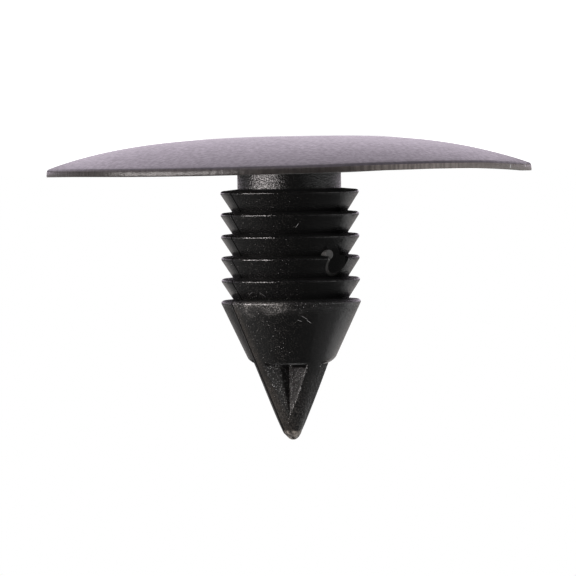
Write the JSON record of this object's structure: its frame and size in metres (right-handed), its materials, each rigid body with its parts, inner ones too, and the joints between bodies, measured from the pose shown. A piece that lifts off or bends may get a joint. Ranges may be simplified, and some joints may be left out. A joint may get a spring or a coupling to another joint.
{
  "type": "plastic push rivet",
  "caption": "One-piece push rivet with a shallow domed disc head, a ribbed stem and a fluted conical nose, which presses through a hole and grips behind it.",
  "frame": {"origin": "middle of the crown of the domed head, on the stem's axis, where the rivet rests when it stands on its head", "axes": "+Z along the stem's axis from the head towards the tip; +X and +Y square to it, the gate pocket lying at 226 degrees from +X"},
  "size_m": [0.03, 0.03, 0.0188],
  "materials": {
    "black_nylon": "black moulded nylon with a fine spark-eroded grain, satin on the dome and smoother on the stem"
  },
  "bodies": {
    "root": {"push_rivet": "black_nylon"}
  },
  "joints": []
}
